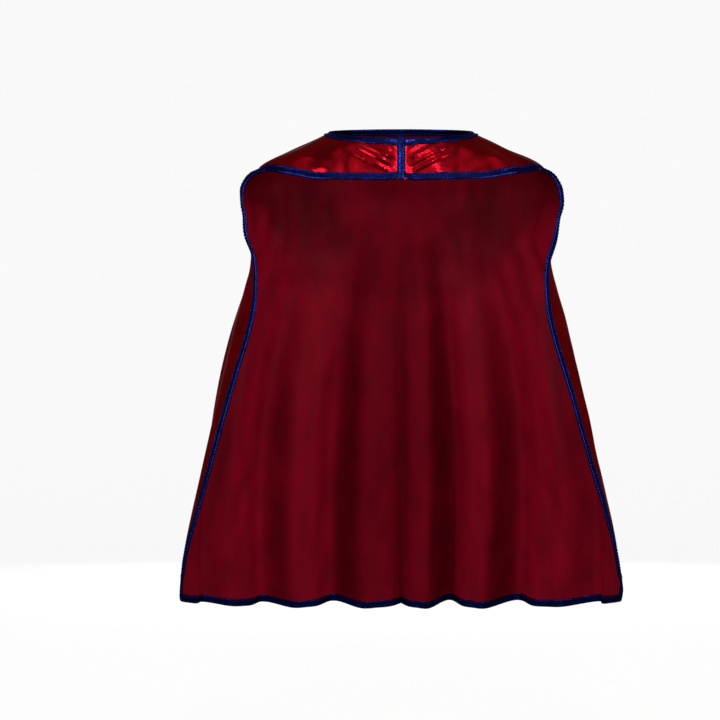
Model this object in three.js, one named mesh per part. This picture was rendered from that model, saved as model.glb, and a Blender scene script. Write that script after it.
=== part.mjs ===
// A child's superhero cape, as it hangs on the shoulders with its front closed.
// One layer of foil-faced cloth goes round the neck, over both shoulders and down the back and sides.
// All its edges are bound with a folded strip, and the two fronts close with hook-and-loop tape.
// Millimetres, +Z up. The origin is the middle of the neck opening, the wearer looks along -Y,
// and the wearer's left is +X.
import * as THREE from "three";

// Cloth and trimmings
const clothThickness = 0.8;
const bindingWidth = 8; // across the folded strip, as it shows
const bindingWall = 0.5; // one layer of the strip
const seamGap = 0.6; // between the cloth and the strip folded over it
const tapeThickness = 0.8; // hook tape and loop tape, each
const tapeWidth = 7;
const tapeGap = 0.6; // between the hooks and the loops
const tapeInset = 9; // tape ends, from the top and bottom of the fronts
const closureRise = 2.5; // how far the front strip stands above the neckline
const foldGap = 0.3; // on each side of a fold between one moving piece and the next
const swingGap = 0.45; // on each side of the split that the hanging cloth swings round

// Neckline: half its width, its depth at the front and back, and its height at each
const neckHalfWidth = 73;
const neckFrontDepth = 62;
const neckBackDepth = 58;
const neckFrontDip = 12;
const neckBackRise = 8;
const neckTiltFade = 70; // the drop over which that tilt fades out

// How far the cloth stands out at each drop below the neckline: [drop, distance from the middle]
const shoulderWidth = 155; // half, where the cloth turns over the shoulders
const hemHalfWidth = 228;
const hemBackDepth = 165;
const sideReach = curveThrough([
  [0, neckHalfWidth], [20, 116], [38, 147], [60, shoulderWidth], [106, shoulderWidth - 7.5],
  [134, 153.5], [160, 164.5], [214, 180], [303, 197], [404, 218], [470, hemHalfWidth],
]);
const frontReach = curveThrough([[0, neckFrontDepth], [15, 66.5], [38, 72], [60, 78], [134, 84], [280, 88], [470, 94]]);
const backReach = curveThrough([
  [0, neckBackDepth], [20, 73], [50, 86], [80, 93], [110, 98], [160, 104], [240, 114], [320, 128],
  [400, 147], [470, hemBackDepth],
]);

// The front edges below the shoulders: where they lie round the body, in degrees from centre front,
// and how far out they stand
const foldDrop = 38; // where the fronts fold back over the shoulders
const foldAngle = 70;
const edgeAngle = curveThrough([
  [foldDrop, foldAngle], [60, 73], [90, 74.5], [134, 73], [200, 69.5], [280, 68.5], [340, 71.5], [400, 76.5], [440, 80.5], [470, 83.5],
]);
const edgeReach = curveThrough([
  [foldDrop, 138], [42, 149], [48, 156], [60, 162], [75, 163.5], [90, 160.5], [106, 156.5], [134, 149.5],
  [151, 147.5], [170, 148], [206, 154.5], [246, 166], [299, 181], [356, 197.5], [397, 210], [430, 219],
  [470, 226],
]);
const edgeCurl = 35; // degrees round the body over which the edge turns in or out

// Lower edges
const frontDrop = 47; // the closed fronts, from the neckline to their lower edge
const hemDrop = 505; // at centre back
const hemSideRise = 25; // how much higher the hem is at the front edges
const cornerRise = 20; // and the extra rise of its rounded corners
const cornerStart = 0.88; // where the corner begins, as a share of the way round from centre back

// Where the hanging cloth swings from the shoulders: an axis along X, and the radius of the split round it
const swingY = 20;
const swingZ = -50;
const swingRadius = 95;

// The front corners lift like wings about a slanting fold: from this drop on the front edge to this share
// of the way round on the hem
const wingTopDrop = 320;
const wingHemShare = 0.72;

const radians = THREE.MathUtils.degToRad;
const smooth = (low, high, x) => THREE.MathUtils.smoothstep(x, low, high);
const lerp = THREE.MathUtils.lerp;

// A smooth curve through [x, y] points that never overshoots them: cubic between points, with the
// harmonic mean of the neighbouring slopes at each.
function curveThrough(points) {
  const slope = points.slice(1).map(([x, y], i) => (y - points[i][1]) / (x - points[i][0]));
  const tangent = points.map((_, i) => {
    const before = slope[Math.max(i - 1, 0)];
    const after = slope[Math.min(i, slope.length - 1)];
    return before * after > 0 ? (2 * before * after) / (before + after) : 0;
  });
  return (x) => {
    let i = points.findIndex((p) => p[0] > x) - 1;
    if (i < -1) i = points.length - 2;
    i = Math.max(i, 0);
    const [x0, y0] = points[i];
    const [x1, y1] = points[i + 1];
    const step = x1 - x0;
    const t = (x - x0) / step;
    if (t > 1) return y1 + (x - x1) * tangent[i + 1];
    const rise = tangent[i] * step * t * (1 - t) ** 2 - tangent[i + 1] * step * t ** 2 * (1 - t);
    return lerp(y0, y1, t * t * (3 - 2 * t)) + rise;
  };
}

// The middle of the cloth, at an angle round the body from centre front and a drop below the neckline.
// side is +1 on the wearer's left and -1 on the right.
function clothPoint(side, angle, drop) {
  const ahead = Math.cos(angle);
  const depth = ahead > 0 ? frontReach(drop) : backReach(drop);
  const tilt = (ahead > 0 ? -neckFrontDip : -neckBackRise) * ahead * Math.exp(-drop / neckTiltFade);
  return new THREE.Vector3(side * sideReach(drop) * Math.sin(angle), -depth * ahead, tilt - drop);
}

// Where a value that grows from low to high passes zero
function crossing(value, low, high) {
  for (let i = 0; i < 40; i++) {
    const middle = (low + high) / 2;
    if (value(middle) < 0) low = middle;
    else high = middle;
  }
  return low;
}

// The fold over a shoulder, straight when seen from above: the angle at which the cloth passes it at a drop,
// or stands a little behind it. The cloth behind is then measured by its share of the way round: -1 and 1
// at the two sides' front edges and 0 at centre back. Above the fold drop the front edge is the shoulder fold.
const foldStart = clothPoint(1, Math.PI / 2, 0);
const foldEnd = clothPoint(1, radians(foldAngle), foldDrop);
const foldBack = new THREE.Vector3(foldStart.y - foldEnd.y, foldEnd.x - foldStart.x, 0).normalize();
function foldLine(drop, behind = 0) {
  const distance = (angle) => clothPoint(1, angle, drop).sub(foldStart).dot(foldBack) - behind;
  return crossing(distance, radians(45), radians(120));
}
function bodyPoint(share, drop) {
  const side = Math.sign(share) || 1;
  const start = drop < foldDrop ? foldLine(drop, foldGap) : radians(edgeAngle(drop));
  const angle = Math.PI - Math.abs(share) * (Math.PI - start);
  const point = clothPoint(side, angle, drop);
  if (drop > foldDrop) {
    const curl = edgeReach(drop) - sideReach(drop) * Math.sin(start);
    point.x += side * curl * (1 - smooth(0, radians(edgeCurl), angle - start));
  }
  return point;
}

const hemAt = (share) =>
  hemDrop - hemSideRise * share ** 2 - cornerRise * smooth(cornerStart, 1, Math.abs(share));

// The drop at which the cloth passes a distance from the swing axis
function splitAt(share, radius) {
  const past = (drop) => {
    const { y, z } = bodyPoint(share, drop);
    return Math.hypot(y - swingY, z - swingZ) - radius;
  };
  return crossing(past, foldDrop, hemDrop / 2);
}

// The wing's fold lies in a plane through its two ends that also faces straight out at its middle.
// This is the drop at which the cloth passes that plane, or a little below it.
const wingTop = bodyPoint(1, wingTopDrop);
const wingBottom = bodyPoint(wingHemShare, hemAt(wingHemShare));
const wingAlong = wingBottom.clone().sub(wingTop).normalize();
const wingMiddle = bodyPoint((1 + wingHemShare) / 2, (wingTopDrop + hemAt(wingHemShare)) / 2);
const wingOut = wingMiddle.clone().sub(wingTop);
wingOut.addScaledVector(wingAlong, -wingOut.dot(wingAlong)).normalize();
const wingAcross = wingAlong.clone().cross(wingOut);
function wingFoldAt(share, below = 0) {
  const past = (drop) => bodyPoint(Math.abs(share), drop).sub(wingTop).dot(wingAcross) - below;
  return crossing(past, wingTopDrop / 2, hemDrop);
}

// Numbers from 0 to 1 with a given first and last step and even ones between
function stations(count, first, last) {
  const between = Array.from({ length: count - 1 }, (_, i) => lerp(first, 1 - last, i / (count - 2)));
  return [0, ...between, 1];
}

// A grid of points with their outward normals. point(i, j) gives the middle of the cloth.
function grid(columns, rows, point, outward) {
  const points = Array.from({ length: columns }, (_, i) => Array.from({ length: rows }, (_, j) => point(i, j)));
  const at = (i, j) =>
    points[THREE.MathUtils.clamp(i, 0, columns - 1)][THREE.MathUtils.clamp(j, 0, rows - 1)];
  return points.map((column, i) =>
    column.map((p, j) => {
      const across = at(i + 1, j).clone().sub(at(i - 1, j));
      const down = at(i, j + 1).clone().sub(at(i, j - 1));
      return { p, n: across.cross(down).normalize().multiplyScalar(outward) };
    }),
  );
}

function solid(positions, triangles) {
  const geometry = new THREE.BufferGeometry();
  geometry.setAttribute("position", new THREE.Float32BufferAttribute(positions.flatMap((p) => p.toArray()), 3));
  const corners = triangles.map((t) => t.map((i) => positions[i]));
  const volume = corners.reduce((sum, [a, b, c]) => sum + a.dot(b.clone().cross(c)), 0);
  geometry.setIndex(triangles.flatMap((t) => (volume < 0 ? [t[0], t[2], t[1]] : t)));
  geometry.computeVertexNormals();
  return geometry;
}

// A closed sheet, half its thickness each side of a grid
function sheet(cells) {
  const columns = cells.length;
  const rows = cells[0].length;
  const layer = (offset) => cells.flatMap((column) => column.map(({ p, n }) => p.clone().addScaledVector(n, offset)));
  const positions = [...layer(clothThickness / 2), ...layer(-clothThickness / 2)];
  const top = (i, j) => i * rows + j;
  const under = (i, j) => columns * rows + top(i, j);
  const triangles = [];
  const quad = (a, b, c, d) => triangles.push([a, b, c], [a, c, d]);
  for (let i = 0; i < columns - 1; i++)
    for (let j = 0; j < rows - 1; j++) {
      quad(top(i, j), top(i + 1, j), top(i + 1, j + 1), top(i, j + 1));
      triangles.push([under(i, j), under(i + 1, j + 1), under(i + 1, j)]);
      triangles.push([under(i, j), under(i, j + 1), under(i + 1, j + 1)]);
    }
  for (let i = 0; i < columns - 1; i++) {
    quad(top(i, 0), under(i, 0), under(i + 1, 0), top(i + 1, 0));
    quad(top(i, rows - 1), top(i + 1, rows - 1), under(i + 1, rows - 1), under(i, rows - 1));
  }
  for (let j = 0; j < rows - 1; j++) {
    quad(top(0, j), top(0, j + 1), under(0, j + 1), under(0, j));
    quad(top(columns - 1, j), under(columns - 1, j), under(columns - 1, j + 1), top(columns - 1, j + 1));
  }
  return solid(positions, triangles);
}

// Edge lines of a grid: each station pairs the edge with the next line in from it
const sides = {
  start: (cells) => cells[0].map((edge, j) => ({ edge, inner: cells[1][j] })),
  end: (cells) => cells.at(-1).map((edge, j) => ({ edge, inner: cells.at(-2)[j] })),
  top: (cells) => cells.map((column) => ({ edge: column[0], inner: column[1] })),
  bottom: (cells) => cells.map((column) => ({ edge: column.at(-1), inner: column.at(-2) })),
};

function mix(a, b, t) {
  return { p: a.p.clone().lerp(b.p, t), n: a.n.clone().lerp(b.n, t).normalize() };
}

// The same stations, shortened at each end, or lengthened where the number is below zero
function trimmed(line, fromStart, fromEnd) {
  const shift = (list, amount) => {
    const length = list[0].edge.p.distanceTo(list[1].edge.p);
    if (amount >= length) return shift(list.slice(1), amount - length);
    const t = amount / length;
    const end = { edge: mix(list[0].edge, list[1].edge, t), inner: mix(list[0].inner, list[1].inner, t) };
    return [end, ...list.slice(1)];
  };
  return shift(shift(line, fromStart).reverse(), fromEnd).reverse();
}

// A section carried along an edge. Its points are [distance in from the edge, distance out along the normal].
// Where the edge runs askew to the grid, the section is widened so that its true width stays.
function alongEdge(line, outline) {
  const shape = outline.map(([x, y]) => new THREE.Vector2(x, y));
  if (THREE.ShapeUtils.isClockWise(shape)) shape.reverse();
  const section = shape.map(({ x, y }) => [x, y]);
  const positions = line.flatMap(({ edge, inner }, k) => {
    const inward = inner.p.clone().sub(edge.p);
    const width = inward.length();
    inward.normalize();
    const before = line[Math.max(k - 1, 0)].edge.p;
    const after = line[Math.min(k + 1, line.length - 1)].edge.p;
    const askew = after.clone().sub(before).normalize().cross(inward).length();
    return section.map(([straight, out]) => {
      const across = straight / askew;
      const normal = mix(edge, inner, THREE.MathUtils.clamp(across / width, 0, 1)).n;
      return edge.p.clone().addScaledVector(inward, across).addScaledVector(normal, out);
    });
  });
  const count = section.length;
  const triangles = [];
  for (let k = 0; k < line.length - 1; k++)
    for (let s = 0; s < count; s++) {
      const a = k * count + s;
      const b = k * count + ((s + 1) % count);
      triangles.push([a, b, b + count], [a, b + count, a + count]);
    }
  const cap = THREE.ShapeUtils.triangulateShape(shape, []);
  const last = (line.length - 1) * count;
  for (const [a, b, c] of cap) triangles.push([a, c, b], [last + a, last + b, last + c]);
  return solid(positions, triangles);
}

// The folded strip: a U that holds the cloth's edge, with a rounded nose
const channelHalf = clothThickness / 2 + seamGap;
const bindingHalf = channelHalf + bindingWall;
const nose = seamGap + bindingWall; // how far the fold stands past the cloth's edge
const bindingIn = bindingWidth - nose;
const foldedStrip = [
  [bindingIn, bindingHalf], [-nose / 2, bindingHalf], [-nose, bindingHalf / 2], [-nose, -bindingHalf / 2],
  [-nose / 2, -bindingHalf], [bindingIn, -bindingHalf], [bindingIn, -channelHalf], [-seamGap, -channelHalf],
  [-seamGap, channelHalf], [bindingIn, channelHalf],
];

// How far along a line its strip starts, to clear the strip on another edge that meets it
function clearOf(line, edge) {
  const direction = ([a, b]) => b.edge.p.clone().sub(a.edge.p).normalize();
  return (bindingIn + seamGap) / direction(line).cross(direction(edge)).length();
}

// Materials
const foil = new THREE.MeshStandardMaterial({ color: "#8f0716", roughness: 0.28, metalness: 0.85 });
const blueFoil = new THREE.MeshStandardMaterial({ color: "#1a2a8c", roughness: 0.32, metalness: 0.8 });
const tape = new THREE.MeshStandardMaterial({ color: "#16194a", roughness: 0.9, metalness: 0 });

function piece(name, geometry, material) {
  const mesh = new THREE.Mesh(geometry, material);
  mesh.name = name;
  return mesh;
}

// The fronts. The wearer's right front laps over the left one, which is stacked behind it at the closure.
const stackDepth = 2 * bindingHalf + 2 * (seamGap + tapeThickness) + tapeGap;
const stackWidth = 42; // from centre front to where the left front is back in line
const edgePast = bindingWidth / 2 - nose; // each front's cloth ends this far past centre front
const ringDrop = bindingWidth + 0.5; // the first and last row of cloth, which the bindings hold
const ringWidth = bindingWidth + 2;
const lowerEdge = curveThrough([[0, frontDrop], [30, frontDrop], [45, 43], [foldAngle, foldDrop]]);

function frontCloth(side) {
  const columns = 17;
  const rows = 6;
  const shares = stations(columns - 1, ringWidth / shoulderWidth, ringWidth / shoulderWidth);
  return grid(columns, rows, (i, j) => {
    // the front edge is upright, so its angle depends on the drop
    let drop = 0;
    let angle = 0;
    for (let pass = 0; pass < 6; pass++) {
      const bottom = lowerEdge(Math.max(THREE.MathUtils.radToDeg(angle), 0));
      drop = stations(rows - 1, ringDrop / bottom, ringDrop / bottom)[j] * bottom;
      const start = -Math.asin(edgePast / sideReach(drop));
      angle = lerp(start, foldLine(Math.min(drop, foldDrop), -foldGap), shares[i]);
    }
    const p = clothPoint(side, angle, drop);
    const past = Math.abs(side * p.x < 0 ? 0 : p.x);
    const behind = side > 0 ? stackDepth * (1 - smooth(ringWidth, stackWidth, past)) : 0;
    p.y += behind;
    return p;
  }, -side);
}

function front(side) {
  const name = side > 0 ? "left" : "right";
  const cells = frontCloth(side);
  const centre = sides.start(cells);
  const upper = sides.top(cells);
  const lower = sides.bottom(cells);
  const group = new THREE.Group();
  group.add(
    piece(`${name}_front_cloth`, sheet(cells), foil),
    piece(
      `${name}_front_neck_binding`,
      alongEdge(trimmed(upper, clearOf(upper, centre), 0), foldedStrip),
      blueFoil,
    ),
    piece(
      `${name}_front_lower_binding`,
      alongEdge(trimmed(lower, clearOf(lower, centre.slice(-2)), 0), foldedStrip),
      blueFoil,
    ),
    piece(
      `${name}_front_edge_binding`,
      alongEdge(trimmed(centre, -nose - (side < 0 ? closureRise : 0), -nose), foldedStrip),
      blueFoil,
    ),
  );
  // the hooks face back on the right front, and the loops face forward on the left one
  const facing = side > 0 ? 1 : -1;
  const near = facing * (bindingHalf + seamGap);
  const far = near + facing * tapeThickness;
  const across = [bindingIn / 2 - nose / 2 - tapeWidth / 2, bindingIn / 2 - nose / 2 + tapeWidth / 2];
  const section = [[across[0], near], [across[1], near], [across[1], far], [across[0], far]];
  const line = trimmed(centre, tapeInset, tapeInset);
  group.add(piece(side > 0 ? "loop_tape" : "hook_tape", alongEdge(line, section), tape));
  return group;
}

// Shoulder cloth: from the neckline over both shoulders to the split
const halfColumns = 16;
const edgeShare = bindingWidth / shoulderWidth; // the first column at a front edge, just wider than the strip
const bodyShares = [
  ...stations(halfColumns, edgeShare, 1 / halfColumns).map((t) => t - 1),
  ...stations(halfColumns, 1 / halfColumns, edgeShare).slice(1),
];

function shoulders() {
  const fixed = [0, ringDrop, 0.5 * foldDrop, 0.68 * foldDrop, 0.85 * foldDrop];
  const lower = [0, 0.03, 0.07, 0.12, 0.18, 0.25, 0.33, 0.41, 0.5, 0.6, 0.7, 0.8, 0.9, 1];
  const rows = fixed.length + lower.length;
  const cells = grid(bodyShares.length, rows, (i, j) => {
    const share = bodyShares[i];
    const split = splitAt(share, swingRadius - swingGap);
    const drop = j < fixed.length ? fixed[j] : lerp(foldDrop, split, lower[j - fixed.length]);
    return bodyPoint(share, drop);
  }, 1);
  const group = new THREE.Group();
  const edges = [
    ["right", sides.start(cells)],
    ["left", sides.end(cells)],
  ];
  group.add(
    piece("shoulder_cloth", sheet(cells), foil),
    piece("back_neck_binding", alongEdge(trimmed(sides.top(cells), seamGap / 2, seamGap / 2), foldedStrip), blueFoil),
  );
  for (const [name, line] of edges) {
    const free = line.slice(fixed.length);
    group.add(
      piece(`${name}_shoulder_edge_binding`, alongEdge(trimmed(free, nose + seamGap, 0), foldedStrip), blueFoil),
    );
  }
  return group;
}

// Hanging cloth: from the split to the hem, without the wings
const wingEdge = edgeShare / (1 - wingHemShare);
const wingSteps = [0, ...[0, 0.16, 0.34, 0.54, 0.76, 1].map((t) => lerp(wingEdge, 1, t))];
const hangingRowHeight = 36;
const wingRowHeight = 11;
const wingColumns = wingSteps.length - 1; // of the half's columns, those in front of the wing's end on the hem
function hangingShares() {
  const wing = wingSteps.map((t) => lerp(-1, -wingHemShare, t));
  const middleCount = 2 * halfColumns - 2 * wingColumns;
  const middle = Array.from({ length: middleCount - 1 }, (_, i) =>
    lerp(-wingHemShare, wingHemShare, (i + 1) / middleCount),
  );
  return [...wing, ...middle, ...wing.map((s) => -s).reverse()];
}

function hanging() {
  const shares = hangingShares();
  const rows = Math.round(hemDrop / hangingRowHeight);
  const cells = grid(shares.length, rows, (i, j) => {
    const share = shares[i];
    const onHem = Math.abs(share) <= wingHemShare + 1e-9;
    const top = splitAt(share, swingRadius + swingGap);
    const bottom = onHem ? hemAt(share) : wingFoldAt(share, -foldGap);
    const drop = lerp(top, bottom, stations(rows - 1, 0.1, (ringDrop + 1) / (bottom - top))[j]);
    return bodyPoint(share, drop);
  }, 1);
  const group = new THREE.Group();
  const hem = sides.bottom(cells).slice(wingColumns, shares.length - wingColumns);
  group.add(
    piece("back_cloth", sheet(cells), foil),
    piece("back_hem_binding", alongEdge(trimmed(hem, foldGap, foldGap), foldedStrip), blueFoil),
  );
  for (const [name, line] of [["right", sides.start(cells)], ["left", sides.end(cells)]])
    group.add(piece(`${name}_side_edge_binding`, alongEdge(line, foldedStrip), blueFoil));
  return group;
}

// Wings: the front corners below their folds
function wing(side) {
  const name = side > 0 ? "left" : "right";
  const columns = wingColumns + 1;
  const rows = Math.round((hemDrop - wingTopDrop) / wingRowHeight);
  const tall = (share) => hemAt(share) - wingFoldAt(share, foldGap) - bindingWidth - seamGap;
  const shares = wingSteps.map((t) => lerp(1, crossing(tall, wingHemShare, 1), t));
  const cells = grid(columns, rows, (i, j) => {
    const share = shares[i];
    const top = wingFoldAt(share, foldGap);
    const bottom = hemAt(share);
    const ring = Math.min((ringDrop + 1) / (bottom - top), 0.55);
    return bodyPoint(side * share, lerp(top, bottom, stations(rows - 1, (1 - ring) / (rows - 2), ring)[j]));
  }, -side);
  const group = new THREE.Group();
  const edge = trimmed(sides.start(cells), 0, -nose);
  const bottom = sides.bottom(cells);
  const hem = trimmed(bottom, clearOf(bottom, edge.slice(-2)), foldGap);
  group.add(
    piece(`${name}_wing_cloth`, sheet(cells), foil),
    piece(`${name}_wing_edge_binding`, alongEdge(edge, foldedStrip), blueFoil),
    piece(`${name}_wing_hem_binding`, alongEdge(hem, foldedStrip), blueFoil),
  );
  return group;
}

const cape = new THREE.Group();
cape.add(shoulders(), front(-1), front(1), hanging(), wing(-1), wing(1));
export default cape;
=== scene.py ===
import math

import bpy
import numpy as np
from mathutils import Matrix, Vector


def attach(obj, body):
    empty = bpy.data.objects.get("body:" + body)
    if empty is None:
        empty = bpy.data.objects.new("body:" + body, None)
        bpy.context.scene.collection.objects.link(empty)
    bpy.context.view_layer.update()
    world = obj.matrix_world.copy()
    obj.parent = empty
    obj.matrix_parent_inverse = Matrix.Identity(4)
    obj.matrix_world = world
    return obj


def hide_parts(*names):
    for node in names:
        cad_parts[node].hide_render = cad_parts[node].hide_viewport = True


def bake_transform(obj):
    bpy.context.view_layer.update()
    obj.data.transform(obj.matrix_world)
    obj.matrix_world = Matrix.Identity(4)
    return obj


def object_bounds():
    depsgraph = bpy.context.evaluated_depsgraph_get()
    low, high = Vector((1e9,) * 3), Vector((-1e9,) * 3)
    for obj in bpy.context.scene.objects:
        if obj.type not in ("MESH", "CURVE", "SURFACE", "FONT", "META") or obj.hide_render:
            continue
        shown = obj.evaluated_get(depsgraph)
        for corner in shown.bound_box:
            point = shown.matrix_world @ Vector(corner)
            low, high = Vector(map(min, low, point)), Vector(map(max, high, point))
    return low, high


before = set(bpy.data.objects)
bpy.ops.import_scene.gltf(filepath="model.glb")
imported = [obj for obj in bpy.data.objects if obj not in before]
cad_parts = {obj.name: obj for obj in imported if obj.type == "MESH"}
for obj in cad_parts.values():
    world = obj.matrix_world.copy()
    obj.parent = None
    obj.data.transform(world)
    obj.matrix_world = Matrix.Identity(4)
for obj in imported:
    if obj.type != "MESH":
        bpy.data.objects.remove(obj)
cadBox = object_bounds()
print("frame loaded")

mm = 0.001


# How far the cloth stands out from the middle at each drop below the neckline, and where its front
# edges lie: [drop, reach] in millimetres, and [drop, degrees from centre front]
cape = {
    "sideReach": [
        [0, 73], [20, 116], [38, 147], [60, 155], [106, 147.5], [134, 153.5], [160, 164.5], [214, 180],
        [303, 197], [404, 218], [470, 228],
    ],
    "frontReach": [[0, 62], [15, 66.5], [38, 72], [60, 78], [134, 84], [280, 88], [470, 94]],
    "backReach": [
        [0, 58], [20, 73], [50, 86], [80, 93], [110, 98], [160, 104], [240, 114], [320, 128],
        [400, 147], [470, 165],
    ],
    "edgeAngle": [
        [38, 70], [60, 73], [90, 74.5], [134, 73], [200, 69.5], [280, 68.5], [340, 71.5], [400, 76.5],
        [440, 80.5], [470, 83.5],
    ],
    "edgeReach": [
        [38, 138], [42, 149], [48, 156], [60, 162], [75, 163.5], [90, 160.5], [106, 156.5], [134, 149.5],
        [151, 147.5], [170, 148], [206, 154.5], [246, 166], [299, 181], [356, 197.5], [397, 210],
        [430, 219], [470, 226],
    ],
    "lowerEdge": [[0, 47], [30, 47], [45, 43], [70, 38]],  # [degrees, drop] of the closed fronts
    "neckFrontDip": 12,
    "neckBackRise": 8,
    "neckTiltFade": 70,
    "foldDrop": 38,
    "foldAngle": 70,
    "edgeCurl": 35,
    "hemDrop": 505,
    "hemSideRise": 25,
    "cornerRise": 20,
    "cornerStart": 0.88,
    "wingTopDrop": 320,
    "wingHemShare": 0.72,
    "thickness": 0.6,
    "modelled": [230.18, 175.59, 506.25],  # the size that these figures give, to follow the frame's
}
frameFit = np.array([cadBox[1].x, cadBox[1].y, -cadBox[0].z]) / mm / cape["modelled"]


# From 0 at low to 1 at high, flat at both ends: 3 t squared less 2 t cubed
def smooth(low, high, x):
    t = np.clip((x - low) / (high - low), 0, 1)
    return t * t * (3 - 2 * t)


# From a to b in proportion to t
def mix(a, b, t):
    return a + (b - a) * t


# A curve through points that never overshoots: cubic between them, the slope at each the harmonic
# mean of its neighbours' slopes, and straight on past the ends.
def curveThrough(points):
    x, y = np.array(points, float).T
    step = np.diff(x)
    slope = np.diff(y) / step
    left, right = np.r_[slope[0], slope], np.r_[slope, slope[-1]]
    same = left * right > 0
    tangent = np.where(same, 2 * left * right / np.where(same, left + right, 1), 0)

    def at(value):
        i = np.clip(np.searchsorted(x, value, side="right") - 1, 0, len(x) - 2)
        t = np.clip((value - x[i]) / step[i], 0, 1)
        inside = mix(y[i], y[i + 1], t * t * (3 - 2 * t))
        inside += step[i] * t * (1 - t) * (tangent[i] * (1 - t) - tangent[i + 1] * t)
        past, before = np.maximum(value - x[i + 1], 0), np.minimum(value - x[i], 0)
        return inside + tangent[i + 1] * past + tangent[i] * before

    return at


sideReach, frontReach, backReach, edgeAngle, edgeReach, lowerEdge = (
    curveThrough(cape[name])
    for name in ("sideReach", "frontReach", "backReach", "edgeAngle", "edgeReach", "lowerEdge")
)


# The middle of the smooth cloth: an ellipse at each drop, half of it deeper behind than in front,
# tilted near the neck by an exponential. angle is from centre front, side is +1 or -1.
def clothPoint(side, angle, drop):
    ahead = np.cos(angle)
    depth = np.where(ahead > 0, frontReach(drop), backReach(drop))
    tilt = np.where(ahead > 0, -cape["neckFrontDip"], -cape["neckBackRise"]) * ahead
    z = tilt * np.exp(-drop / cape["neckTiltFade"]) - drop
    x = side * sideReach(drop) * np.sin(angle)
    return np.stack(np.broadcast_arrays(x, -depth * ahead, z), axis=-1)


# Where a value that grows from low to high passes zero, by halving
def crossing(value, low, high):
    for _ in range(40):
        middle = (low + high) / 2
        below = value(middle) < 0
        low, high = np.where(below, middle, low), np.where(below, high, middle)
    return low


foldStart = clothPoint(1, math.pi / 2, 0.0)
foldEnd = clothPoint(1, math.radians(cape["foldAngle"]), float(cape["foldDrop"]))
foldBack = np.array([foldStart[1] - foldEnd[1], foldEnd[0] - foldStart[0], 0])
foldBack /= np.linalg.norm(foldBack)


# The angle at which the cloth crosses the upright plane of the fold over a shoulder
def foldLine(drop):
    drop = np.asarray(drop, float)
    low, high = np.full(drop.shape, math.radians(45)), np.full(drop.shape, math.radians(120))
    return crossing(lambda angle: (clothPoint(1, angle, drop) - foldStart) @ foldBack, low, high)


# The smooth cloth behind the fronts. share is -1 and 1 at the front edges and 0 at centre back.
def bodyPoint(share, drop):
    share, drop = np.broadcast_arrays(np.asarray(share, float), np.asarray(drop, float))
    side = np.where(share < 0, -1, 1)
    foldDrop = cape["foldDrop"]
    start = np.where(drop < foldDrop, foldLine(np.minimum(drop, foldDrop)), np.radians(edgeAngle(drop)))
    angle = math.pi - np.abs(share) * (math.pi - start)
    point = clothPoint(side, angle, drop)
    curl = edgeReach(drop) - sideReach(drop) * np.sin(start)
    curl *= 1 - smooth(0, math.radians(cape["edgeCurl"]), angle - start)
    point[..., 0] += np.where(drop > foldDrop, side * curl, 0)
    return point


# Drop of the hem: lowest at centre back, rising with the square of the share, and at the corners
def hemAt(share):
    corner = smooth(cape["cornerStart"], 1, np.abs(share))
    return cape["hemDrop"] - cape["hemSideRise"] * share**2 - cape["cornerRise"] * corner


# The wing's fold lies in the plane through its two ends that faces straight out at its middle
wingTop = bodyPoint(1.0, float(cape["wingTopDrop"]))
wingBottom = bodyPoint(cape["wingHemShare"], float(hemAt(cape["wingHemShare"])))
wingAlong = (wingBottom - wingTop) / np.linalg.norm(wingBottom - wingTop)
wingMiddle = bodyPoint(
    (1 + cape["wingHemShare"]) / 2, (cape["wingTopDrop"] + hemAt(cape["wingHemShare"])) / 2
)
wingOut = wingMiddle - wingTop
wingOut -= wingAlong * (wingOut @ wingAlong)
wingOut /= np.linalg.norm(wingOut)


folds = {
    "fluteHeight": 11.0,  # at the hem
    "fluteCount": 4.4,  # from centre back to a front edge
    "fluteTop": 60,  # drop where they begin and where they are full
    "fluteFull": 330,
    "fluteStart": 0.7,  # part of its height that a flute has near the neck, growing to the whole
    "fluteLean": 0.10,  # how far they drift round, in flutes from top to hem
    "leanTurns": 7,  # how quickly the drift changes round the body, in radians a share
    "spacing": [0.2, 5.1],  # how unevenly they stand: size in flutes, radians a share
    "leftShift": 0.24,  # the left side's flutes against the right's, in flutes
    "secondWave": [0.28, 0.6],  # height and phase of the wave with half the width
    "uneven": [0.25, 3.7, 1.1],  # how their height varies: size, radians a share, phase
    "quiet": [0.62, 0.9],  # shares between which they die out towards the front edges
    "drag": 1.3,  # soft drag lines over the shoulders
    "dragWave": 42,
    "dragStretch": [0.5, 1.6, 1],  # how much shorter the wave is along x, y and z
    "dragDrops": [4, 25, 90, 180],  # drops where it begins, is full, fades and ends
    "ripple": 0.5,  # small irregular ripple everywhere
    "rippleWave": 34,
    "rippleStretch": [1, 1, 0.55],
    "neckCalm": 12,  # drop from which the ripple and the drag are full
    "pullEnds": [-0.25, 0.2, 0.75, 1.2],  # where along itself a pull begins, is full, fades and ends
    "pullDepth": [-5, 25],  # y between which the pulls die out over the shoulder
    # pulls in the closed fronts: from [x, z] to [x, z], half width, height
    "pulls": [
        [[-46, -13], [-3, -36], 2.1, 1.3],
        [[-44, -20], [-3, -42], 1.8, 1.1],
        [[-46, -27], [-8, -47], 2.0, 1.1],
        [[-60, -18], [-58, -48], 5.0, -0.7],
        [[-82, -20], [-40, -50], 5.5, 0.6],
        [[-108, -24], [-66, -46], 6.5, 0.9],
        [[-28, -12], [-4, -25], 2.2, 1.0],
        [[-76, -12], [-96, -42], 7.0, -1.0],
    ],
}


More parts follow.
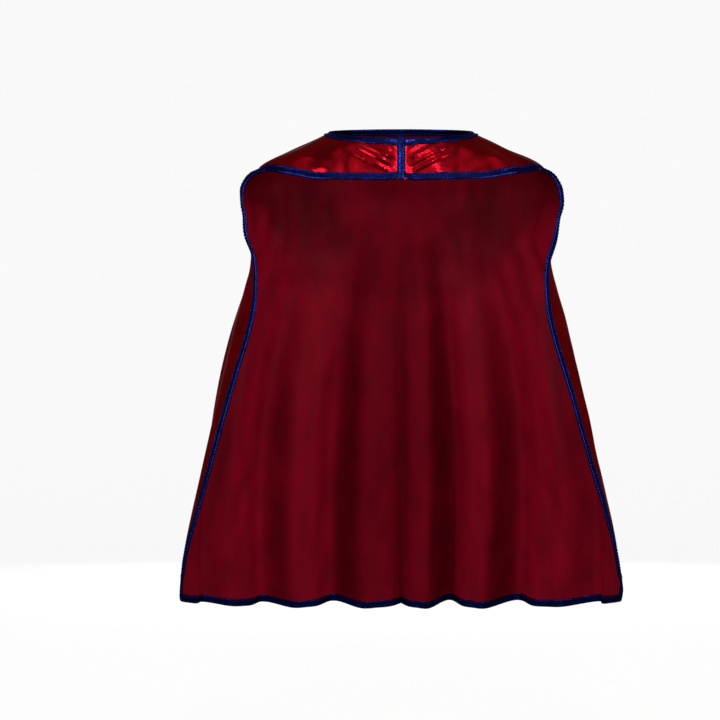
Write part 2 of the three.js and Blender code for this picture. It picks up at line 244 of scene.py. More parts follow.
# Smooth irregular waves: a sum of sines in fixed random directions, about 1 high
def softNoise(points, wavelength, seed, waves=7):
    draw = np.random.default_rng(seed)
    total = np.zeros(points.shape[:-1])
    for _ in range(waves):
        direction = draw.normal(size=points.shape[-1])
        direction /= np.linalg.norm(direction)
        turn = 2 * math.pi / (wavelength * draw.uniform(0.7, 1.5))
        total += np.sin(points @ direction * turn + draw.uniform(0, 6.28))
    return total / math.sqrt(waves)


# Height of the hanging flutes: a cosine round the body and one of half its width, growing with the
# drop, with sines that vary their spacing, lean and height
def fluteHeight(share, drop):
    size = np.abs(share)
    grow = smooth(folds["fluteTop"], folds["fluteFull"], drop)
    grow = grow * mix(folds["fluteStart"], 1, drop / cape["hemDrop"])
    apart, rate = folds["spacing"]
    place = folds["fluteCount"] * size + apart * np.sin(rate * size)
    turn = 2 * math.pi * (place + folds["leftShift"] * smooth(-0.5, 0.5, share))
    lean = folds["fluteLean"] * drop / cape["hemDrop"] * np.sin(folds["leanTurns"] * share)
    turn = turn + 2 * math.pi * lean
    second, phase = folds["secondWave"]
    wave = np.cos(turn) + second * np.cos(2 * turn + phase)
    vary, rate, phase = folds["uneven"]
    uneven = 1 + vary * np.sin(rate * share + phase)
    return folds["fluteHeight"] * grow * wave * uneven * (1 - smooth(*folds["quiet"], size))


# Height of the pulls in the fronts: a bell across each line, dying out at its ends and over the
# shoulder
def pullHeight(point):
    x, z = -np.abs(point[..., 0]), point[..., 2]
    total = np.zeros(x.shape)
    for (x0, z0), (x1, z1), width, height in folds["pulls"]:
        run = np.array([x1 - x0, z1 - z0], float)
        length = np.linalg.norm(run)
        run /= length
        along = ((x - x0) * run[0] + (z - z0) * run[1]) / length
        across = (x - x0) * run[1] - (z - z0) * run[0]
        ends = smooth(*folds["pullEnds"][:2], along) * (1 - smooth(*folds["pullEnds"][2:], along))
        total += height * np.exp(-((across / width) ** 2)) * ends
    return total * (1 - smooth(*folds["pullDepth"], point[..., 1]))


# Height of the small ripple, with the drag lines added over the shoulders, both from irregular waves
# stretched along one axis. Both die out at the neckline.
def ripples(point, drop):
    ripple = softNoise(point * folds["rippleStretch"], folds["rippleWave"], seed=3) * folds["ripple"]
    drag = softNoise(point * folds["dragStretch"], folds["dragWave"], seed=8) * folds["drag"]
    begin, full, fade, end = folds["dragDrops"]
    both = ripple + drag * smooth(begin, full, drop) * (1 - smooth(fade, end, drop))
    return both * smooth(0, folds["neckCalm"], drop)


# A vector divided by its length
def unit(v):
    return v / np.maximum(np.linalg.norm(v, axis=-1, keepdims=True), 1e-12)


# The outward normal of a surface function at two parameters, from small steps of each
def normalOf(surface, u, v, du, dv, outward):
    across = surface(u + du, v) - surface(u - du, v)
    down = surface(u, v + dv) - surface(u, v - dv)
    return unit(np.cross(across, down)) * outward


# The cloth behind the fronts with its folds: the smooth cloth moved along its normal by their heights
def bodyDetailed(share, drop):
    share, drop = np.broadcast_arrays(np.asarray(share, float), np.asarray(drop, float))
    base = bodyPoint(share, drop)
    normal = normalOf(bodyPoint, share, drop, 0.002, 0.5, 1)
    height = fluteHeight(share, drop) + ripples(base, drop) + pullHeight(base)
    return base + normal * height[..., None]


# The fronts, by angle and drop. The left one is stacked behind the right one at the closure.
closure = {
    "past": 2.9,  # each front's cloth ends this far past centre front
    "stack": 6.4,  # the left front's step back
    "stackFlat": 10,
    "stackWidth": 42,
    "rise": 2.5,  # how far the strip stands above the neckline
    "calm": [4, 16],  # distances from centre front between which the pulls and ripples begin
    "stripEnds": (4.2, 3.4),  # radii of its rounded ends
    "stripPucker": 0.8,
    "stripUnder": 6.6,  # the other strips begin this far from centre front, under it
    "tapeEnds": (0.6, 0.6),
}


# A front without its folds: the smooth cloth, the left one stepped back near the centre
def frontSmooth(side, angle, drop):
    point = clothPoint(side, angle, drop)
    if side > 0:
        past = np.maximum(point[..., 0], 0)
        behind = closure["stack"] * (1 - smooth(closure["stackFlat"], closure["stackWidth"], past))
        point[..., 1] += behind
    return point


# A front with its folds: moved along its normal by the heights of the pulls and ripples
def frontDetailed(side, angle, drop):
    base = frontSmooth(side, angle, drop)
    normal = normalOf(lambda a, d: frontSmooth(side, a, d), angle, drop, 0.01, 0.5, -side)
    quiet = smooth(*closure["calm"], np.abs(base[..., 0]))
    height = pullHeight(base) * quiet + ripples(base, drop) * quiet
    return base + normal * height[..., None]


# Angle and drop of the fronts at shares across (centre front to fold) and down (neckline to lower
# edge). The lower edge's drop depends on the angle, so both are worked out in a few rounds.
def frontPlace(across, down):
    across, down = np.broadcast_arrays(np.asarray(across, float), np.asarray(down, float))
    angle = np.zeros(across.shape)
    for _ in range(8):
        drop = down * lowerEdge(np.degrees(np.maximum(angle, 0)))
        start = -np.arcsin(closure["past"] / sideReach(drop))
        angle = mix(start, foldLine(np.minimum(drop, cape["foldDrop"])), across)
    return angle, drop


sizes = {
    "splitDrop": 300,  # where the upper cloth hands over to the lower cloth, above the wings
    "foldRows": 16,  # rows of the upper cloth from the neckline to the end of the shoulder's fold
    "rowStart": 3.7,
    "rowStep": 3.74,
    "upperColumns": 221,
    "lowerGrid": [111, 54],  # columns and rows of a lower cloth
    "frontGrid": [100, 31],
    "neckPoints": 360,  # points that the edges are worked out at, before they are spaced evenly
    "frontPoints": 170,
    "sidePoints": 480,
    "hemPoints": 460,
    "closurePoints": 60,
    "stripStep": 0.6,
    "cornerRound": 6,  # steps of the strip, each way
    "swingBend": [[0, 0, -55], [0, 0, -165]],  # points on the middle line 55 and 165 mm below the neckline, set for a bend of the cloth as the cape swings
    "frontBend": 16,  # distance past its fold set for a front's bend, and for a wing's
    "wingBend": 22,
    "wingLean": 20,  # degrees set for the lean of a wing's bend about the fold, to miss the centre back
}
bindingNose = 1.1  # how far a strip's fold stands out past the cloth's edge


# Vertices and faces into a mesh; restPlace keeps where each vertex was, so that patterns stay on the
# cloth. The last flat faces are the caps of a strip's ends.
def makeObject(name, points, faces, materials, slots=None, normals=None, uv=None, flat=0):
    mesh = bpy.data.meshes.new(name)
    mesh.from_pydata((points * mm * frameFit).tolist(), [], [list(face) for face in faces])
    for material in materials:
        mesh.materials.append(material)
    if slots is not None:
        mesh.polygons.foreach_set("material_index", slots)
    curved = np.ones(len(mesh.polygons), bool)
    curved[len(curved) - flat:] = False
    mesh.polygons.foreach_set("use_smooth", curved)
    place = mesh.attributes.new("restPlace", "FLOAT_VECTOR", "POINT")
    place.data.foreach_set("vector", (points * mm).astype(np.float32).ravel())
    if uv is not None:
        corner = np.zeros(len(mesh.loops), int)
        mesh.loops.foreach_get("vertex_index", corner)
        layer = mesh.uv_layers.new(name="cloth")
        layer.data.foreach_set("uv", uv[corner].astype(np.float32).ravel())
    mesh.update()
    if normals is not None:
        mesh.normals_split_custom_set_from_vertices(normals.tolist())
    made = bpy.data.objects.new(name, mesh)
    bpy.context.scene.collection.objects.link(made)
    return made


# The four-sided faces of a grid whose vertices run down each column in turn
def gridFaces(columns, rows, offset, flip):
    i, j = np.meshgrid(np.arange(columns - 1), np.arange(rows - 1), indexing="ij")
    a = (i * rows + j).ravel() + offset
    quad = np.stack([a, a + 1, a + rows + 1, a + rows], axis=1)
    return quad[:, ::-1] if flip else quad


# Length along each row or column of a grid: the sum of its steps
def lengthAlong(points, axis):
    return np.linalg.norm(np.diff(points, axis=axis), axis=-1).sum(axis=axis)


# A thin closed sheet: the surface's grid pushed half the thickness out and in, with a rim of faces
# round it. Its outer face takes the first material, its inner face and rim the second. It returns the
# object, and its flat width, length and area in metres, measured along the rows and columns.
def makeSheet(name, surface, u, v, steps, materials):
    points = surface(u, v)
    normals = normalOf(surface, u, v, *steps, 1)
    outward = np.sign(np.sum(normals * points * [1, 1, 0]))
    normals *= outward
    columns, rows = u.shape
    half = cape["thickness"] / 2
    both = np.concatenate([
        (points + normals * half).reshape(-1, 3), (points - normals * half).reshape(-1, 3),
    ])
    count = columns * rows
    outside = gridFaces(columns, rows, 0, outward > 0)
    inside = gridFaces(columns, rows, count, outward < 0)
    ring = np.r_[
        np.arange(rows), np.arange(1, columns) * rows + rows - 1,
        (columns - 1) * rows + np.arange(rows - 2, -1, -1), np.arange(columns - 2, 0, -1) * rows,
    ]
    following = np.roll(ring, -1)
    rim = np.stack([ring, following, following + count, ring + count], axis=1)
    rim = rim[:, ::-1] if outward < 0 else rim
    slots = np.r_[np.zeros(len(outside), int), np.ones(len(inside) + len(rim), int)]
    shading = np.concatenate([normals.reshape(-1, 3), -normals.reshape(-1, 3)])
    across = np.cumsum(np.linalg.norm(np.diff(points, axis=0, prepend=points[:1]), axis=-1), axis=0)
    down = np.cumsum(np.linalg.norm(np.diff(points, axis=1, prepend=points[:, :1]), axis=-1), axis=1)
    uv = np.tile(np.stack([across, down], axis=-1).reshape(-1, 2) * mm, (2, 1))
    faces = np.concatenate([outside, inside, rim])
    made = makeObject(name, both, faces, materials, slots, shading, uv)
    width, length = lengthAlong(points, 0).max() * mm, lengthAlong(points, 1).max() * mm
    a, b = np.diff(points[:, :-1], axis=0), np.diff(points[:-1], axis=1)
    area = np.linalg.norm(np.cross(a, b), axis=-1).sum() * mm**2
    return made, (width, length), min(area, width * length)


# The line of a bound edge: its points, the direction in over the cloth, the direction out and the
# length so far. Each of edges is the surface along one edge and a few millimetres in from it. Where
# two edges meet the line is rounded by a running mean, and extend carries its ends straight on.
def edgeLine(edges, extend=(0, 0)):
    edge = np.concatenate([e for e, _ in edges])
    inward = np.concatenate([unit(i - e) for e, i in edges])
    length = np.r_[0, np.cumsum(np.linalg.norm(np.diff(edge, axis=0), axis=1))]
    corners = length[np.cumsum([len(e) for e, _ in edges])[:-1] - 1]
    keep = np.r_[True, np.diff(length) > 1e-6]
    even = np.linspace(0, length[-1], round(length[-1] / sizes["stripStep"]) + 1)
    edge, inward = (
        np.stack([np.interp(even, length[keep], values[keep, n]) for n in range(3)], axis=1)
        for values in (edge, inward)
    )
    for corner in corners:
        for values, reach in ((edge, sizes["cornerRound"]), (inward, 2 * sizes["cornerRound"])):
            padded = np.pad(values, ((reach, reach), (0, 0)), mode="edge")
            count = 2 * reach + 1
            mean = sum(padded[n:n + len(values)] for n in range(count)) / count
            near = np.exp(-((even - corner) / (1.5 * reach)) ** 4)[:, None]
            values += (mean - values) * near
    for where, distance in ((0, extend[0]), (-1, extend[1])):
        if distance:
            steps = np.linspace(0, distance, max(3, round(distance)) + 1)[1:, None]
            away = unit(edge[where] - edge[3 if where == 0 else -4])
            more, same = edge[where] + away * steps, np.repeat(inward[[where]], len(steps), axis=0)
            edge = np.concatenate([more[::-1], edge] if where == 0 else [edge, more])
            inward = np.concatenate([same, inward] if where == 0 else [inward, same])
    run = unit(np.gradient(edge, axis=0))
    inward = unit(inward - run * np.sum(inward * run, axis=-1, keepdims=True))
    out = unit(np.cross(run, inward))
    out = out * np.sign(np.sum(out * edge * [1, 1, 0]))
    length = np.r_[0, np.cumsum(np.linalg.norm(np.diff(edge, axis=0), axis=1))]
    return edge, inward, out, length


# The part of a line between two lengths
def partOf(line, start, end):
    low, high = np.searchsorted(line[3], [start, end + 1e-6])
    return tuple(values[low:high] for values in line)


binding = {
    # one half of the folded strip's section: [distance in from the cloth's edge, height]; the dip is
    # pressed by the line of stitches
    "half": [
        [7.2, 0.45], [6.95, 0.98], [6.4, 1.26], [5.9, 1.22], [5.45, 0.86], [4.9, 0.82], [3.6, 0.9],
        [2.4, 1.0], [1.4, 1.24], [0.4, 1.36], [-0.4, 1.02], [-0.95, 0.4],
    ],
    "fold": 8.0,  # half the strip's flat width, which its pattern counts from
    "pucker": 0.24,  # how much the height swells and sinks between stitches
    "puckerPitch": 3.1,
    "puckerDrift": [1.6, 31],  # irregular phase: radians, wavelength
    "swell": [[6.2, 1.1, 1], [0, 1.2, 0.35]],  # where it swells: [distance in, width of the bell, part]
    "wander": 0.18,  # how far the inner edge strays, and over what length
    "wanderWave": 24,
    "stitchIn": 5.3,
    "stitchPitch": 3.1,
    "stitchShare": 0.72,  # part of the pitch that shows thread, and over which it fades
    "stitchFade": 0.1,
}
bindingHalf = np.array(binding["half"])
bindingSection = np.concatenate([bindingHalf, bindingHalf[::-1] * [1, -1]])
tapes = {
    # rounded bar over the folded strip: [distance in, height above the cloth]
    "section": [[-0.5, 1.3], [-0.5, 2.3], [-0.1, 2.6], [5.9, 2.6], [6.3, 2.3], [6.3, 1.3]],
    "inset": 9.0,
}


# A strip along an edge: a closed section carried along the line, with a fan at each end. Its height
# swells and sinks by a sine of the length with an irregular phase. An end can be rounded by a quarter
# circle.
def makeStrip(name, line, section, material, rounded=(0, 0), pucker=0.0):
    edge, inward, out, length = line
    section = np.array(section, float)
    drift, driftWave = binding["puckerDrift"]
    phase = 2 * math.pi * length / binding["puckerPitch"]
    phase = phase + drift * softNoise(length[:, None], driftWave, seed=5)
    bell = sum(
        part * np.exp(-(((section[:, 0] - place) / width) ** 2)) for place, width, part in binding["swell"]
    )
    swell = 1 + pucker * np.sin(phase)[:, None] * bell
    size = np.ones(len(length))
    for radius, distance in zip(rounded, (length - length[0], length[-1] - length)):
        if radius:
            size *= np.sqrt(1 - (1 - np.clip(distance / radius, 0.03, 1)) ** 2)
    middle = section[:, 0].mean()
    across = middle + (section[:, 0] - middle) * size[:, None]
    if pucker:
        stray = binding["wander"] * softNoise(length[:, None], binding["wanderWave"], seed=9)
        across = across + stray[:, None] * (section[:, 0] > 2)
    height = section[:, 1] * swell * size[:, None]
    points = edge[:, None] + inward[:, None] * across[..., None] + out[:, None] * height[..., None]
    count, around = points.shape[:2]
    k, s = np.meshgrid(np.arange(count - 1), np.arange(around), indexing="ij")
    a, b = (k * around + s).ravel(), (k * around + (s + 1) % around).ravel()
    walls = np.stack([a, b, b + around, a + around], axis=1)
    s = np.arange(around)
    ring = (s + 1) % around
    last = (count - 1) * around
    tip = np.full(around, count * around)
    fans = np.concatenate([
        np.stack([tip, ring, s], axis=1), np.stack([tip + 1, last + s, last + ring], axis=1)
    ])
    distance, rise = section.T
    turn = np.sum(distance * np.roll(rise, -1) - np.roll(distance, -1) * rise)
    handed = turn * np.sum(np.cross(inward, out)[count // 2] * (edge[-1] - edge[0]))
    if handed < 0:
        walls, fans = walls[:, ::-1], fans[:, ::-1]
    every = np.concatenate([points.reshape(-1, 3), points[[0, -1]].mean(axis=1)])
    turned = np.linalg.norm(np.diff(section, axis=0, prepend=section[:1]), axis=1).cumsum()
    if len(section) == len(bindingSection):
        turned = np.r_[bindingHalf[:, 0], 2 * binding["fold"] - bindingHalf[::-1, 0]]
    u = np.r_[np.repeat(length, around), length[0], length[-1]]
    v = np.r_[np.tile(turned, count), turned.mean(), turned.mean()]
    faces = walls.tolist() + fans.tolist()
    return makeObject(name, every, faces, [material], uv=np.stack([u, v], axis=1) * mm, flat=len(fans))


# An sRGB colour as linear values
def linear(hexColour):
    values = np.array([int(hexColour[n:n + 2], 16) for n in (1, 3, 5)]) / 255
    return (*np.where(values <= 0.04045, values / 12.92, ((values + 0.055) / 1.055) ** 2.4).tolist(), 1.0)


# Adds a node with its settings. Its inputs are given by name, or as a list in the node's own order,
# and each is a value or a socket to link.
def add(tree, kind, inputs=(), **settings):
    node = tree.nodes.new("ShaderNode" + kind)
    for name, value in settings.items():
        setattr(node, name, value)
    for name, value in inputs.items() if isinstance(inputs, dict) else enumerate(inputs):
        if isinstance(value, bpy.types.NodeSocket):
            tree.links.new(value, node.inputs[name])
        else:
            node.inputs[name].default_value = value
    return node


# A material whose shader takes the values that are the same all over from its dictionary
def startMaterial(name, finish):
    material = bpy.data.materials.new(name)
    material.use_nodes = True
    material.diffuse_color = linear(finish["colour"])
    tree = material.node_tree
    shader = tree.nodes["Principled BSDF"]
    for socket, value in finish.items():
        if socket in shader.inputs:
            shader.inputs[socket].default_value = value
    if "edgeTint" in finish:
        shader.inputs["Specular Tint"].default_value = linear(finish["edgeTint"])
    return material, tree, shader


# The base colour goes from deep to colour with a factor
def tintCloth(tree, shader, finish, factor):
    colours = {6: linear(finish["deep"]), 7: linear(finish["colour"])}  # a Mix node's two colours
    mixed = add(tree, "Mix", {0: factor, **colours}, data_type="RGBA")
    tree.links.new(mixed.outputs[2], shader.inputs["Base Color"])


# Reliefs laid over one another, each a depth in metres and a height
def relief(tree, shader, *layers):
    below = {}
    for depth, height in layers:
        bump = add(tree, "Bump", {"Distance": depth, "Strength": 1, "Height": height, **below})
        below = {"Normal": bump.outputs[0]}
    tree.links.new(bump.outputs[0], shader.inputs["Normal"])


waveLength = 0.314  # metres between the bands of a wave pattern of scale 1


# Lame: polyester cloth pressed with metal foil. It is bright where it faces a light and dark
# elsewhere, creases finely, and the weave shows faintly through the foil.
lame = {
    "colour": "#b00a1c",
    "deep": "#8e0615",
    "edgeTint": "#e08088",  # coloured foil stays coloured where it turns away
    "Metallic": 0.92,
    "Roughness": 0.17,
    "creaseSize": 0.019,
    "creaseDepth": 0.00038,
    "fineSize": 0.0036,
    "fineDepth": 0.00006,
    "thread": 0.0012,  # real threads are 0.25 mm apart: drawn coarser, to show
    "threadDepth": 0.00004,
    "blotches": 22,  # a metre
    "roughLess": 0.05,  # how far the roughness varies each way
    "roughMore": 0.09,
}


def makeLame():
    material, tree, shader = startMaterial("redFoilLame", lame)
    place = add(tree, "Attribute", attribute_name="restPlace").outputs["Vector"]
    streaks = add(tree, "Mapping", {"Vector": place, "Scale": (1, 1, 0.5)}).outputs[0]
    crease = add(tree, "TexNoise", {
        "Vector": streaks, "Scale": 1 / lame["creaseSize"], "Detail": 3, "Roughness": 0.55,
    })
    fine = add(tree, "TexVoronoi", {"Vector": place, "Scale": 1 / lame["fineSize"]}, feature="SMOOTH_F1")
    cloth = add(tree, "UVMap", uv_map="cloth").outputs[0]
    weave = add(tree, "TexWave", {
        "Vector": cloth, "Scale": waveLength / lame["thread"], "Distortion": 0.6,
    }, bands_direction="Y")
    blotch = add(tree, "TexNoise", {"Vector": place, "Scale": lame["blotches"], "Detail": 2})
    tintCloth(tree, shader, lame, add(tree, "MapRange", [blotch.outputs[0], 0.35, 0.65, 0, 1]).outputs[0])
    smoothest, roughest = lame["Roughness"] - lame["roughLess"], lame["Roughness"] + lame["roughMore"]
    rough = add(tree, "MapRange", [fine.outputs["Distance"], 0.1, 0.7, smoothest, roughest])
    tree.links.new(rough.outputs[0], shader.inputs["Roughness"])
    relief(
        tree, shader, (lame["creaseDepth"], crease.outputs[0]),
        (lame["fineDepth"], fine.outputs["Distance"]), (lame["threadDepth"], weave.outputs["Color"]),
    )
    return material


# The reverse of lame is the bare polyester: a dull satin, woven, dark red, with a soft sheen that
# brightens it where it turns away. Its colour is painted darker in the hollows of its crease relief,
# as shade.
reverse = {
    "colour": "#82001a",
    # deep: the colour painted into the crease hollows as shade
    "deep": "#6c0015",
    "Roughness": 0.6,
    "IOR": 1.5,
    "Specular IOR Level": 0.06,
    "sheenTint": "#b01030",
    "Sheen Weight": 0.03,
    "Sheen Roughness": 0.4,
    "creaseSize": 0.02,
    "creaseDepth": 0.0006,
    "thread": 0.0014,  # real threads are 0.25 mm apart: drawn coarser, to show
    "threadDepth": 0.00006,
}


def makeReverse():
    material, tree, shader = startMaterial("redSatinReverse", reverse)
    shader.inputs["Sheen Tint"].default_value = linear(reverse["sheenTint"])
    place = add(tree, "Attribute", attribute_name="restPlace").outputs["Vector"]
    streaks = add(tree, "Mapping", {"Vector": place, "Scale": (1, 1, 0.4)}).outputs[0]
    crease = add(tree, "TexNoise", {"Vector": streaks, "Scale": 1 / reverse["creaseSize"], "Detail": 3})
    cloth = add(tree, "UVMap", uv_map="cloth").outputs[0]
    weave = add(tree, "TexWave", {
        "Vector": cloth, "Scale": waveLength / reverse["thread"], "Distortion": 0.8,
    }, bands_direction="X")
    # painted shade: where the crease relief sinks, the colour goes to deep
    tintCloth(tree, shader, reverse, add(tree, "MapRange", [crease.outputs[0], 0.3, 0.7, 0, 1]).outputs[0])
    relief(
        tree, shader, (reverse["creaseDepth"], crease.outputs[0]),
        (reverse["threadDepth"], weave.outputs["Color"]),
    )
    return material


# Folded strip of blue foil lame, cut on the bias: small facets glint in the foil, and a line of navy
# thread is stitched through it.
blueFoil = {
    "colour": "#161f62",
    "deep": "#0c1242",
    "edgeTint": "#5a66c4",
    "thread": "#0c1040",
    "Metallic": 0.88,
    "Roughness": 0.2,
    "facet": 0.0017,
    "facetDepth": 0.00013,
    "grain": 0.0007,
    "grainDepth": 0.00006,
    "roughLess": 0.08,
    "roughMore": 0.1,
    "threadHalf": [0.0002, 0.0005],  # distances from the thread's middle where it fades and ends
    "threadRough": 0.6,
    "stitchDepth": 0.0003,
}


def makeBlueFoil():
    material, tree, shader = startMaterial("blueFoilBinding", blueFoil)
    place = add(tree, "Attribute", attribute_name="restPlace").outputs["Vector"]
    cloth = add(tree, "UVMap", uv_map="cloth").outputs[0]
    along, across, _ = add(tree, "SeparateXYZ", [cloth]).outputs
    aside = add(tree, "Math", [across, binding["fold"] * mm], operation="SUBTRACT").outputs[0]
    aside = add(tree, "Math", [aside], operation="ABSOLUTE").outputs[0]
    stitchAside = (binding["fold"] - binding["stitchIn"]) * mm
    away = add(tree, "Math", [aside, stitchAside], operation="SUBTRACT").outputs[0]
    away = add(tree, "Math", [away], operation="ABSOLUTE").outputs[0]
    line = add(tree, "MapRange", [away, *blueFoil["threadHalf"], 1, 0]).outputs[0]
    beat = add(tree, "Math", [along, binding["stitchPitch"] * mm], operation="DIVIDE").outputs[0]
    beat = add(tree, "Math", [beat], operation="FRACT").outputs[0]
    share = binding["stitchShare"]
    dash = add(tree, "MapRange", [beat, share, share + binding["stitchFade"], 1, 0]).outputs[0]
    stitch = add(tree, "Math", [line, dash], operation="MULTIPLY").outputs[0]
    facets = add(tree, "TexVoronoi", {"Vector": place, "Scale": 1 / blueFoil["facet"]})
    grey = add(tree, "SeparateColor", [facets.outputs["Color"]]).outputs[0]
    foilColours = {6: linear(blueFoil["deep"]), 7: linear(blueFoil["colour"])}
    foil = add(tree, "Mix", {0: grey, **foilColours}, data_type="RGBA").outputs[2]
    colours = {6: foil, 7: linear(blueFoil["thread"])}
    colour = add(tree, "Mix", {0: stitch, **colours}, data_type="RGBA").outputs[2]
    tree.links.new(colour, shader.inputs["Base Color"])
    metal = add(tree, "MapRange", [stitch, 0, 1, blueFoil["Metallic"], 0]).outputs[0]
    tree.links.new(metal, shader.inputs["Metallic"])
    smoothest = blueFoil["Roughness"] - blueFoil["roughLess"]
    roughest = blueFoil["Roughness"] + blueFoil["roughMore"]
    facetRough = add(tree, "MapRange", [grey, 0, 1, smoothest, roughest]).outputs[0]
    rough = add(tree, "Mix", {0: stitch, 2: facetRough, 3: blueFoil["threadRough"]}).outputs[0]
    tree.links.new(rough, shader.inputs["Roughness"])
    grain = add(tree, "TexNoise", {"Vector": place, "Scale": 1 / blueFoil["grain"], "Detail": 1})
    soft = add(tree, "TexVoronoi", {
        "Vector": place, "Scale": 1 / blueFoil["facet"],
    }, feature="SMOOTH_F1")
    relief(
        tree, shader, (blueFoil["facetDepth"], soft.outputs["Distance"]),
        (blueFoil["grainDepth"], grain.outputs[0]), (blueFoil["stitchDepth"], stitch),
    )
    return material


# Nylon hook-and-loop tape, woven and dyed navy: matt, with a nap of small hooks or loops. Its colour
# is painted darker between the hooks, as shade in the nap's hollows.
nylon = {
    "colour": "#1b1f52",
    # deep: the colour painted between the hooks as shade
    "deep": "#0b0d2a",
    "Roughness": 0.85,
    "IOR": 1.53,
    "Sheen Weight": 0.4,
    "nap": 0.0006,
    "napDepth": 0.0004,
}


def makeNylon():
    material, tree, shader = startMaterial("nylonHookTape", nylon)
    place = add(tree, "Attribute", attribute_name="restPlace").outputs["Vector"]
    nap = add(tree, "TexVoronoi", {"Vector": place, "Scale": 1 / nylon["nap"]})
    # nap height, which also paints shade: low between the hooks, where the colour goes to deep
    napHeightAndPaintedShade = add(tree, "MapRange", [nap.outputs["Distance"], 0, 0.7, 1, 0]).outputs[0]
    tintCloth(tree, shader, nylon, napHeightAndPaintedShade)
    relief(tree, shader, (nylon["napDepth"], napHeightAndPaintedShade))
    return material


foilFace, satinBack, bindingFoil, tapeNylon = makeLame(), makeReverse(), makeBlueFoil(), makeNylon()
clothFaces = [foilFace, satinBack]
print("materials made")


# Shares in equal steps, with a row for each drop
def bodyGrid(shareStart, shareEnd, drops, columns):
    share = np.linspace(shareStart, shareEnd, columns)
    return np.meshgrid(share, drops, indexing="ij")


def boundStrip(name, line, ends=(0, 0), pucker=binding["pucker"]):
    return makeStrip(name, line, bindingSection, bindingFoil, ends, pucker)


# Upper cloth: round the back from front edge to front edge, from the neckline to the split
foldRows = np.linspace(0, cape["foldDrop"], sizes["foldRows"])
nextRows = np.arange(cape["foldDrop"] + sizes["rowStart"], sizes["splitDrop"] - 2, sizes["rowStep"])
upperRows = np.r_[foldRows, nextRows, sizes["splitDrop"]]
share, drop = bodyGrid(-1, 1, upperRows, sizes["upperColumns"])
upper, upperFlat, upperArea = makeSheet(
    "upper_cloth", bodyDetailed, share, drop, (0.002, 0.5), clothFaces,
)
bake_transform(upper)

share = np.linspace(-1, 1, sizes["neckPoints"])
neckLine = edgeLine([(bodyDetailed(share, 0.0), bodyDetailed(share, 3.0))])
backNeck = boundStrip("back_neck_strip", neckLine)
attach(backNeck, "shoulders")
print("upper cloth made")


# The closed front at shares across (from centre front to the fold over the shoulder) and down
def frontSurface(side):
    return lambda u, v: frontDetailed(side, *frontPlace(u, v))


# The free edge of one side in one line: under the front from the centre to the fold, down the front
# edge, round the corner and along the hem to centre back. With it, its lengths at the fold and split.
def freeEdge(side):
    frontAt = frontSurface(side)
    across = np.linspace(0, 1, sizes["frontPoints"])
    share = np.linspace(1, 0, sizes["hemPoints"])[1:] * side
    drops = np.linspace(cape["foldDrop"], hemAt(1.0), sizes["sidePoints"])
    side = float(side)
    low = frontAt(across, 1.0)
    down = bodyDetailed(side, drops[1:])
    line = edgeLine([
        (low, frontAt(across, 0.92)),
        (down, bodyDetailed(side * 0.985, drops[1:])),
        (bodyDetailed(share, hemAt(share)), bodyDetailed(share, hemAt(share) - 4.0)),
    ])
    foldLength = lengthAlong(low, 0)
    splitLength = foldLength + lengthAlong(down[drops[1:] <= sizes["splitDrop"]], 0)
    return line, round(foldLength), round(splitLength)


for side, name in ((-1, "right"), (1, "left")):
    line, foldLength, splitLength = freeEdge(side)
    top = boundStrip(name + "_upper_strip", partOf(line, foldLength, splitLength))
    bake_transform(top)

    columns, rows = sizes["lowerGrid"]
    share, down = bodyGrid(min(0, side), max(0, side), np.linspace(0, 1, rows), columns)
    lower, flat, area = makeSheet(
        name + "_lower_cloth",
        lambda s, d: bodyDetailed(s, mix(float(sizes["splitDrop"]), hemAt(s), d)),
        share, down, (0.002, 0.003), clothFaces,
    )
    bottom = boundStrip(name + "_lower_strip", partOf(line, splitLength, math.inf))
    for one in (lower, bottom):
        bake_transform(one)

    frontAt = frontSurface(side)
    columns, rows = sizes["frontGrid"]
    across, down = np.meshgrid(np.linspace(0, 1, columns), np.linspace(0, 1, rows), indexing="ij")
    front, flat, area = makeSheet(
        name + "_front_sheet", frontAt, across, down, (0.004, 0.01), clothFaces,
    )
    along = np.linspace(0, 1, sizes["frontPoints"])
    neck = edgeLine([(frontAt(along, 0.0), frontAt(along, 0.08))])
    rise = closure["rise"] if side < 0 else 0
    upright = np.linspace(0, 1, sizes["closurePoints"])
    ends = (bindingNose + rise, bindingNose)
    centre = edgeLine([(frontAt(0.0, upright), frontAt(0.03, upright))], ends)
    under = closure["stripUnder"]
    strips = [
        boundStrip(name + "_front_neck_strip", partOf(neck, under, math.inf)),
        boundStrip(name + "_front_lower_strip", partOf(line, under, foldLength)),
        boundStrip(
            name + "_closure_strip", centre, closure["stripEnds"],
            binding["pucker"] * closure["stripPucker"],
        ),
    ]
    flip = [1, 1] if side > 0 else [1, -1]
    inset = partOf(centre, tapes["inset"] + rise, centre[3][-1] - tapes["inset"])
    section = np.array(tapes["section"]) * flip
    tape = makeStrip(name + "_front_tape", inset, section, tapeNylon, closure["tapeEnds"])
    for one in (front, *strips, tape):
        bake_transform(one)

    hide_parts(name + "_front_cloth")
    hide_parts(name + "_front_neck_binding")
    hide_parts(name + "_front_lower_binding")
    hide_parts(name + "_front_edge_binding")
    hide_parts("loop_tape" if side > 0 else "hook_tape")
    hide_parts(name + "_shoulder_edge_binding", name + "_side_edge_binding")
    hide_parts(name + "_wing_edge_binding", name + "_wing_hem_binding")
    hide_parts(name + "_wing_cloth")
    if side > 0:
        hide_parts("back_hem_binding")

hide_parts("shoulder_cloth", "back_cloth")
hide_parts("back_neck_binding")
print("lower cloth, fronts and strips made")


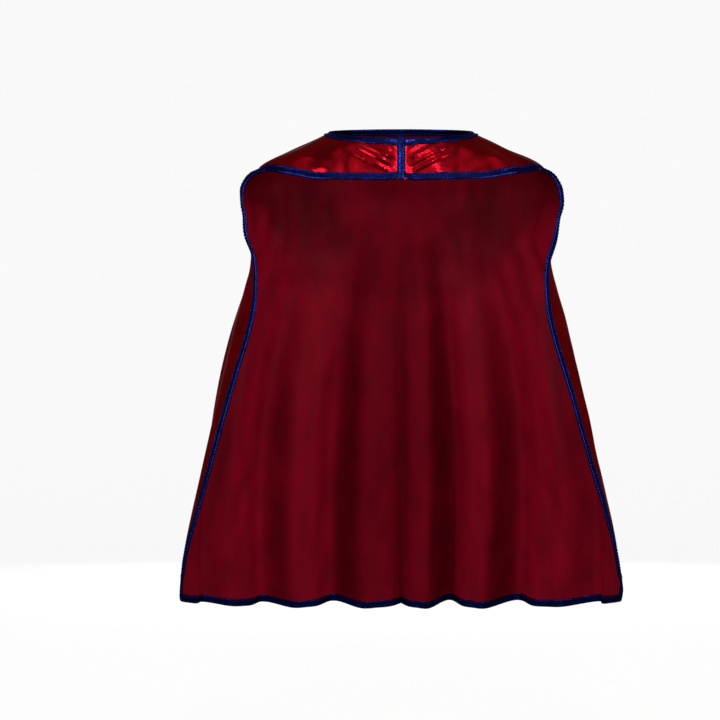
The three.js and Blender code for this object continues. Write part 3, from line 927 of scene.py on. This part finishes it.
studio = {
    "floor": -0.66,
    "floorColour": "#6a6a69",
    "floorGlow": 0.9,  # lit from behind, as a studio's white table is
    "backdrop": [1.2, 4.2, 4.0],  # radius of the bend, distance and height of the wall
    "cameraDistance": 2.5,
    "cameraHeight": -0.235,
    "lens": 121,
    "shift": -0.057,
    "world": 0.14,
    # name: place, size, aim, watts
    "lamps": {
        "frontPanel": [(0, -2.3, 1.3), (2.2, 1.2), (0, 0, -0.1), 8],
        "overheadPanel": [(0, -0.7, 1.9), (2.4, 1.4), (0, 0, -0.1), 5],
        "flash": [(0.05, -2.2, 1.35), (0.16, 0.16), (0, 0, -0.1), 12],
        "rightSoftbox": [(-2.0, -1.5, 0.3), (0.7, 1.4), (0, 0, -0.2), 36],
        "leftSoftbox": [(2.0, -1.5, 0.3), (0.7, 1.4), (0, 0, -0.2), 36],
        "backSoftbox": [(0, 2.6, -0.3), (0.6, 0.6), (0, 0, -0.25), 26],
    },
}


# A round studio: a flat floor, a quarter circle up and a wall, turned about the upright axis. It
# doesn't light or mirror in the cloth.
def makeBackdrop():
    radius, wall, height = studio["backdrop"]
    turn = np.linspace(0, math.pi / 2, 16)
    out = np.r_[0, wall - radius + radius * np.sin(turn), wall]
    z = np.r_[0, radius - radius * np.cos(turn), height] + studio["floor"]
    angle = np.linspace(0, 2 * math.pi, 97)[:, None]
    points = np.stack(np.broadcast_arrays(out * np.cos(angle), out * np.sin(angle), z), axis=-1)
    mesh = bpy.data.meshes.new("backdrop")
    mesh.from_pydata(points.reshape(-1, 3).tolist(), [], gridFaces(97, len(out), 0, True).tolist())
    mesh.polygons.foreach_set("use_smooth", np.ones(len(mesh.polygons), bool))
    acrylic = {"colour": studio["floorColour"], "Roughness": 0.9}
    material, _, shader = startMaterial("backlitAcrylic", acrylic)
    shader.inputs["Base Color"].default_value = linear(studio["floorColour"])
    shader.inputs["Specular IOR Level"].default_value = 0.0
    shader.inputs["Emission Color"].default_value = (1, 1, 1, 1)
    shader.inputs["Emission Strength"].default_value = studio["floorGlow"]
    mesh.materials.append(material)
    made = bpy.data.objects.new("backdrop", mesh)
    bpy.context.scene.collection.objects.link(made)
    made.visible_glossy = made.visible_diffuse = made.visible_shadow = False
    return made


makeBackdrop()
for name, (place, size, aim, watts) in studio["lamps"].items():
    lamp = bpy.data.lights.new(name, "AREA")
    lamp.shape = "RECTANGLE"
    lamp.size, lamp.size_y = size
    lamp.energy = watts
    holder = bpy.data.objects.new(name, lamp)
    holder.location = place
    holder.visible_camera = False
    holder.rotation_euler = (Vector(aim) - Vector(place)).to_track_quat("-Z", "Y").to_euler()
    bpy.context.scene.collection.objects.link(holder)

world = bpy.data.worlds.new("studio")
world.use_nodes = True
world.node_tree.nodes["Background"].inputs["Color"].default_value = (1, 1, 1, 1)
world.node_tree.nodes["Background"].inputs["Strength"].default_value = studio["world"]
scene = bpy.context.scene
scene.world = world
scene.view_settings.view_transform = "Standard"

camera = bpy.data.cameras.new("camera")
camera.lens = studio["lens"]
camera.shift_x = studio["shift"]
viewer = bpy.data.objects.new("camera", camera)
viewer.location = (0, -studio["cameraDistance"], studio["cameraHeight"])
viewer.rotation_euler = (math.pi / 2, 0, 0)
scene.collection.objects.link(viewer)
scene.camera = viewer
print("studio made")
